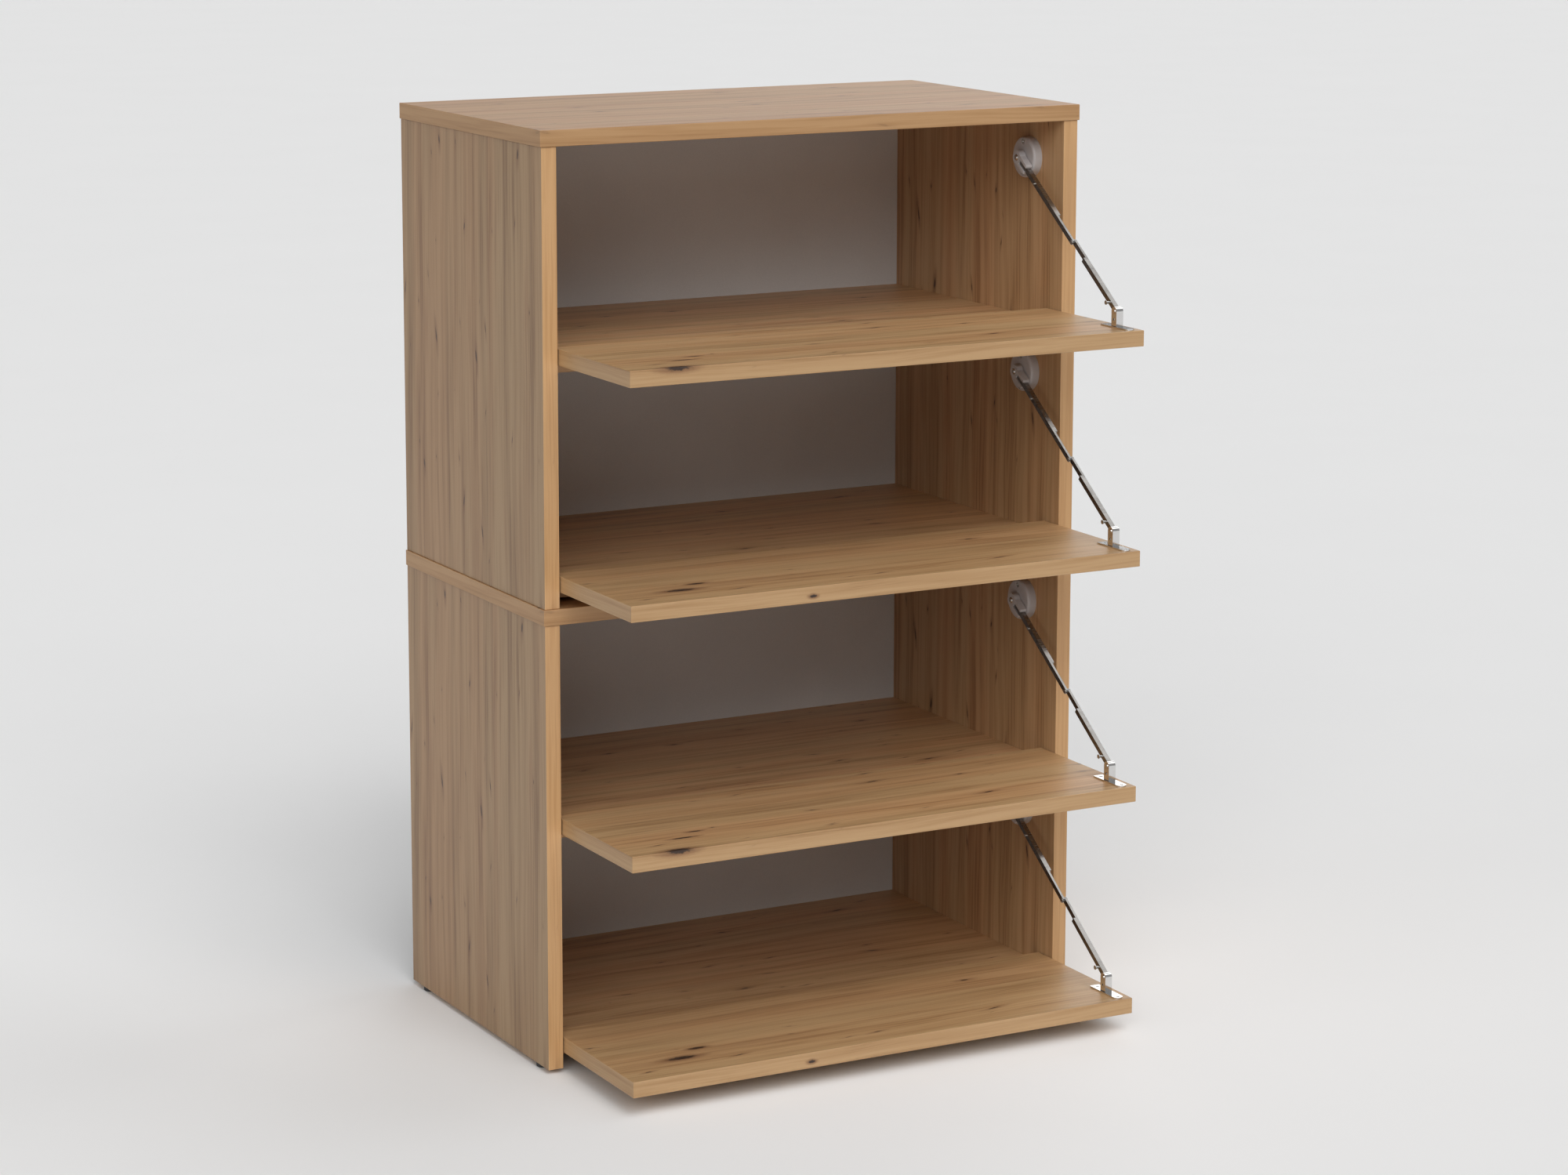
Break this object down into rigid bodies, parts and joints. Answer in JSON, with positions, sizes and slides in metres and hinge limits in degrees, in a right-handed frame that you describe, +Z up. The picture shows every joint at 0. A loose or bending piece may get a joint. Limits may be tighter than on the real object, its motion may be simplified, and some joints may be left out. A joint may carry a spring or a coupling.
{
  "type": "shoe cabinet",
  "caption": "Open two-module shoe cabinet in oak decor board with fixed shelves and drop-front flaps held by folding stays.",
  "frame": {"origin": "middle of the footprint with the flaps let down, on the floor", "axes": "+X to the viewer's right, -Y out of the front where the flaps open, +Z up"},
  "size_m": [0.603, 0.494, 0.933],
  "materials": {
    "oak_decor_board": "matte oak decor film on particle board",
    "back_board": "matte white lacquered hardboard",
    "beech": "raw fluted beech",
    "stay_plastic": "satin light grey moulding",
    "foot_plastic": "matte black moulding",
    "pad_rubber": "soft matte pad",
    "chrome": "bright nickel plated steel",
    "steel": "bright zinc plated steel",
    "screw_steel": "zinc plated steel",
    "zinc": "plain die-cast and plated fittings"
  },
  "bodies": {
    "cabinet": {"lower_left_side": "oak_decor_board", "lower_right_side": "oak_decor_board", "lower_top": "oak_decor_board", "lower_bottom_shelf": "oak_decor_board", "lower_middle_shelf": "oak_decor_board", "lower_back_panel": "back_board", "upper_left_side": "oak_decor_board", "upper_right_side": "oak_decor_board", "upper_top": "oak_decor_board", "upper_bottom_shelf": "oak_decor_board", "upper_middle_shelf": "oak_decor_board", "upper_back_panel": "back_board", "feet": "foot_plastic", "cam_housings": "zinc", "cam_bolts": "zinc", "dowels": "beech", "back_panel_nails": "zinc", "hinge_bushes": "stay_plastic", "stay_housings": "stay_plastic", "stay_axles": "steel", "flap_stops": "stay_plastic", "flap_stop_pads": "pad_rubber", "mounting_screws": "screw_steel"},
    "flap_1": {"flap_1": "oak_decor_board", "flap_1_hinge_pins": "steel", "flap_1_bracket": "chrome", "flap_1_bracket_screws": "screw_steel"},
    "flap_1_upper_stay": {"flap_1_upper_arm": "chrome", "flap_1_upper_arm_pins": "steel", "flap_1_knuckle": "stay_plastic"},
    "flap_1_lower_stay": {"flap_1_lower_arm": "chrome", "flap_1_lower_arm_pins": "steel"},
    "flap_2": {"flap_2": "oak_decor_board", "flap_2_hinge_pins": "steel", "flap_2_bracket": "chrome", "flap_2_bracket_screws": "screw_steel"},
    "flap_2_upper_stay": {"flap_2_upper_arm": "chrome", "flap_2_upper_arm_pins": "steel", "flap_2_knuckle": "stay_plastic"},
    "flap_2_lower_stay": {"flap_2_lower_arm": "chrome", "flap_2_lower_arm_pins": "steel"},
    "flap_3": {"flap_3": "oak_decor_board", "flap_3_hinge_pins": "steel", "flap_3_bracket": "chrome", "flap_3_bracket_screws": "screw_steel"},
    "flap_3_upper_stay": {"flap_3_upper_arm": "chrome", "flap_3_upper_arm_pins": "steel", "flap_3_knuckle": "stay_plastic"},
    "flap_3_lower_stay": {"flap_3_lower_arm": "chrome", "flap_3_lower_arm_pins": "steel"},
    "flap_4": {"flap_4": "oak_decor_board", "flap_4_hinge_pins": "steel", "flap_4_bracket": "chrome", "flap_4_bracket_screws": "screw_steel"},
    "flap_4_upper_stay": {"flap_4_upper_arm": "chrome", "flap_4_upper_arm_pins": "steel", "flap_4_knuckle": "stay_plastic"},
    "flap_4_lower_stay": {"flap_4_lower_arm": "chrome", "flap_4_lower_arm_pins": "steel"}
  },
  "joints": [
    {"name": "flap_1_hinge", "type": "hinge", "parent": "cabinet", "child": "flap_1", "pos_m": [0, -0.085, 0.7145], "axis": [-1, 0, 0], "range_deg": [0, 90]},
    {"name": "flap_1_upper_arm_pivot", "type": "hinge", "parent": "cabinet", "child": "flap_1_upper_stay", "pos_m": [0.27, -0.031, 0.875], "axis": [1, 0, 0], "range_deg": [0, 46.62]},
    {"name": "flap_1_lower_arm_pivot", "type": "hinge", "parent": "flap_1", "child": "flap_1_lower_stay", "pos_m": [0.27, -0.218, 0.739], "axis": [-1, 0, 0], "range_deg": [0, 28.75]},
    {"name": "flap_2_hinge", "type": "hinge", "parent": "cabinet", "child": "flap_2", "pos_m": [0, -0.085, 0.4925], "axis": [-1, 0, 0], "range_deg": [0, 90]},
    {"name": "flap_2_upper_arm_pivot", "type": "hinge", "parent": "cabinet", "child": "flap_2_upper_stay", "pos_m": [0.27, -0.031, 0.653], "axis": [1, 0, 0], "range_deg": [0, 46.62]},
    {"name": "flap_2_lower_arm_pivot", "type": "hinge", "parent": "flap_2", "child": "flap_2_lower_stay", "pos_m": [0.27, -0.218, 0.517], "axis": [-1, 0, 0], "range_deg": [0, 28.75]},
    {"name": "flap_3_hinge", "type": "hinge", "parent": "cabinet", "child": "flap_3", "pos_m": [0, -0.085, 0.2505], "axis": [-1, 0, 0], "range_deg": [0, 90]},
    {"name": "flap_3_upper_arm_pivot", "type": "hinge", "parent": "cabinet", "child": "flap_3_upper_stay", "pos_m": [0.27, -0.031, 0.411], "axis": [1, 0, 0], "range_deg": [0, 46.62]},
    {"name": "flap_3_lower_arm_pivot", "type": "hinge", "parent": "flap_3", "child": "flap_3_lower_stay", "pos_m": [0.27, -0.218, 0.275], "axis": [-1, 0, 0], "range_deg": [0, 28.75]},
    {"name": "flap_4_hinge", "type": "hinge", "parent": "cabinet", "child": "flap_4", "pos_m": [0, -0.085, 0.0285], "axis": [-1, 0, 0], "range_deg": [0, 90]},
    {"name": "flap_4_upper_arm_pivot", "type": "hinge", "parent": "cabinet", "child": "flap_4_upper_stay", "pos_m": [0.27, -0.031, 0.189], "axis": [1, 0, 0], "range_deg": [0, 46.62]},
    {"name": "flap_4_lower_arm_pivot", "type": "hinge", "parent": "flap_4", "child": "flap_4_lower_stay", "pos_m": [0.27, -0.218, 0.053], "axis": [-1, 0, 0], "range_deg": [0, 28.75]}
  ],
  "couplings": [
    {"joint": "flap_1_upper_arm_pivot", "follows": "flap_1_hinge", "ratio": 0.51786},
    {"joint": "flap_1_lower_arm_pivot", "follows": "flap_1_hinge", "ratio": 0.31936},
    {"joint": "flap_2_upper_arm_pivot", "follows": "flap_2_hinge", "ratio": 0.51786},
    {"joint": "flap_2_lower_arm_pivot", "follows": "flap_2_hinge", "ratio": 0.31936},
    {"joint": "flap_3_upper_arm_pivot", "follows": "flap_3_hinge", "ratio": 0.51786},
    {"joint": "flap_3_lower_arm_pivot", "follows": "flap_3_hinge", "ratio": 0.31936},
    {"joint": "flap_4_upper_arm_pivot", "follows": "flap_4_hinge", "ratio": 0.51786},
    {"joint": "flap_4_lower_arm_pivot", "follows": "flap_4_hinge", "ratio": 0.31936}
  ]
}
